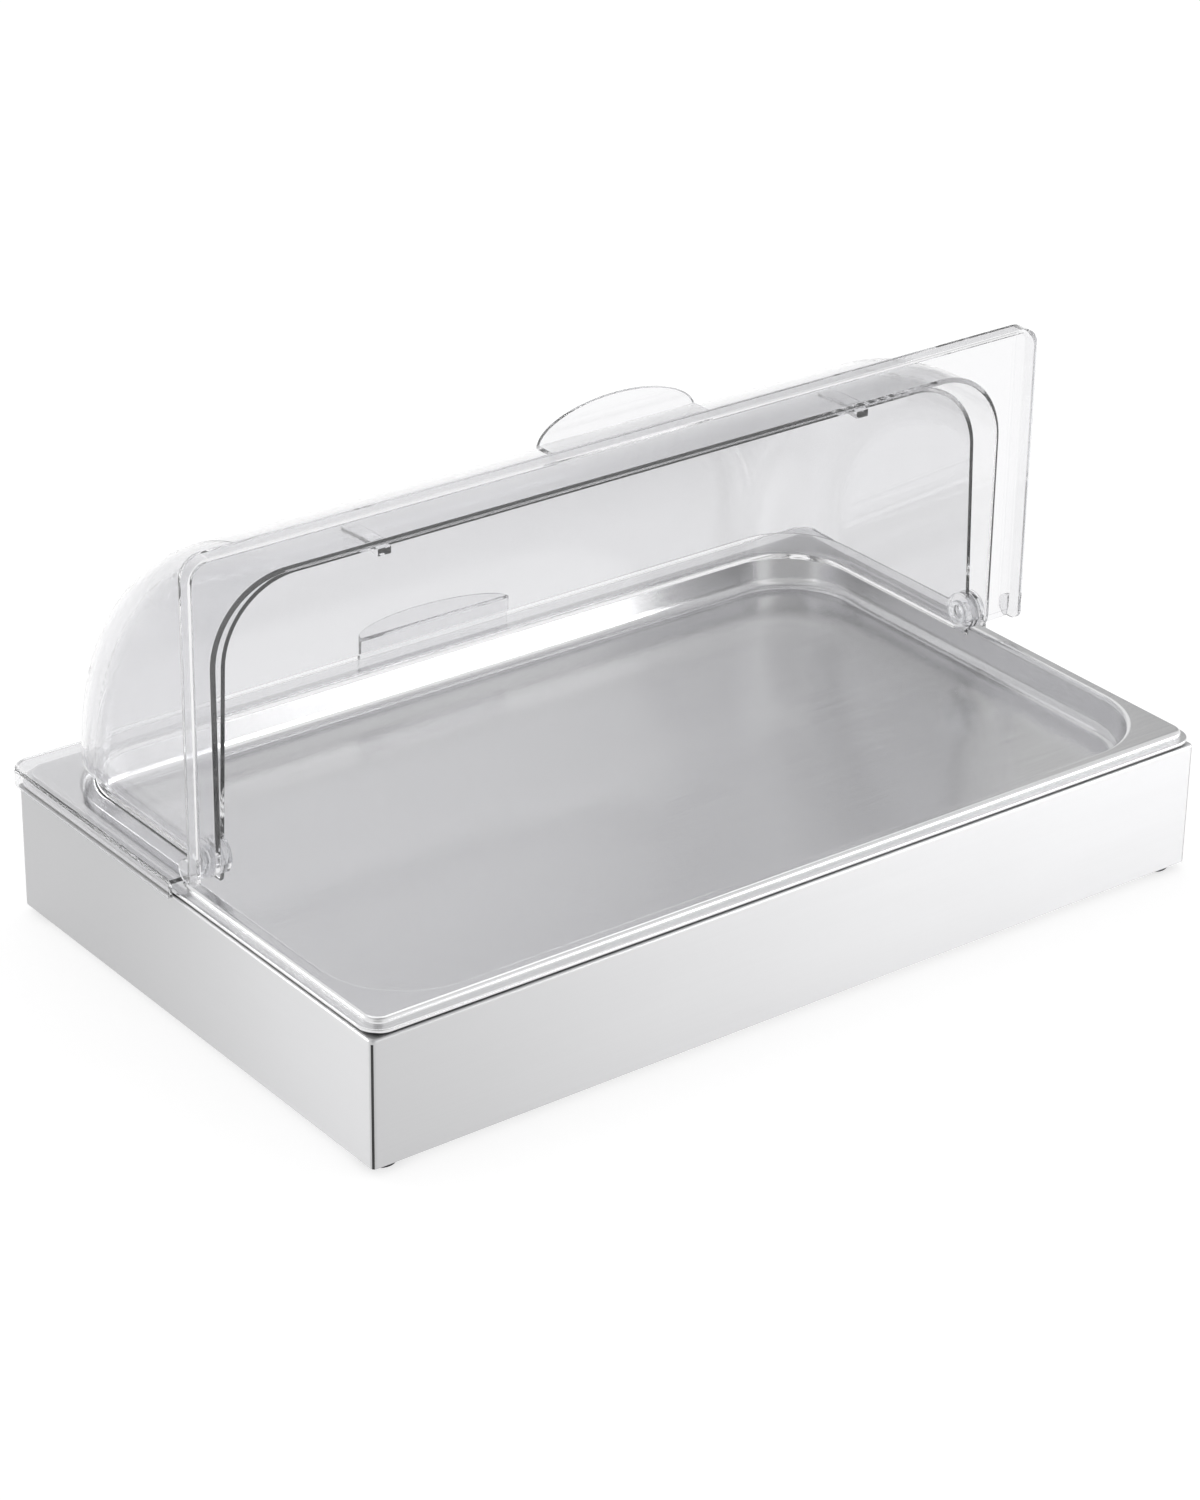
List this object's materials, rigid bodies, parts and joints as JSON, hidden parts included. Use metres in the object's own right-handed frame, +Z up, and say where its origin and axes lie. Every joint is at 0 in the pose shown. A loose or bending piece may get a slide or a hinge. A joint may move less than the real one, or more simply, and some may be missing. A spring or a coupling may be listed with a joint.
{
  "type": "chilled condiment server",
  "caption": "Stainless cold display base with a shallow full-size gastronorm pan, freezer packs beneath it and a clear roll-top cover whose front half rolls back",
  "frame": {"origin": "on the table top, under the middle of the box round the whole unit with its front hood rolled back", "axes": "+X along the hinge line to the right as seen by the person serving, +Y to the rear, +Z up"},
  "size_m": [0.5372, 0.3468, 0.2831],
  "materials": {
    "stainless_housing": "satin",
    "stainless_pan": "bright satin",
    "clear_hood": "clear, polished",
    "clear_pin": "clear, polished",
    "foot_rubber": "matt",
    "plated_steel": "bright zinc plate",
    "pack_shell": "matt",
    "coolant": "wet gel",
    "pack_cap": "matt",
    "seal_rubber": "matt"
  },
  "bodies": {
    "base": {"housing": "stainless_housing", "base_plate": "stainless_housing", "foot_front_left": "foot_rubber", "foot_front_right": "foot_rubber", "foot_rear_left": "foot_rubber", "foot_rear_right": "foot_rubber", "foot_screws": "plated_steel", "foot_washers": "plated_steel", "foot_nuts": "plated_steel", "cold_pack_front_left": "pack_shell", "cold_pack_front_right": "pack_shell", "cold_pack_rear_left": "pack_shell", "cold_pack_rear_right": "pack_shell", "coolant_fill_front_left": "coolant", "coolant_fill_front_right": "coolant", "coolant_fill_rear_left": "coolant", "coolant_fill_rear_right": "coolant", "pack_cap_front_left": "pack_cap", "pack_cap_front_right": "pack_cap", "pack_cap_rear_left": "pack_cap", "pack_cap_rear_right": "pack_cap", "pack_seal_front_left": "seal_rubber", "pack_seal_front_right": "seal_rubber", "pack_seal_rear_left": "seal_rubber", "pack_seal_rear_right": "seal_rubber"},
    "pan": {"food_pan": "stainless_pan"},
    "cover": {"rear_hood": "clear_hood", "pivot_pin_left": "clear_pin", "pivot_pin_right": "clear_pin", "pivot_cap_left": "clear_pin", "pivot_cap_right": "clear_pin"},
    "roll_front": {"front_hood": "clear_hood"}
  },
  "joints": [
    {"name": "pan_lift", "type": "slide", "parent": "base", "child": "pan", "axis": [0, 0, 1], "range_m": [0, 0.12]},
    {"name": "cover_lift", "type": "slide", "parent": "pan", "child": "cover", "axis": [0, 0, 1], "range_m": [0, 0.15]},
    {"name": "front_roll", "type": "hinge", "parent": "cover", "child": "roll_front", "pos_m": [0, -0.0083, 0.0962], "axis": [1, 0, 0], "range_deg": [0, 90]}
  ]
}
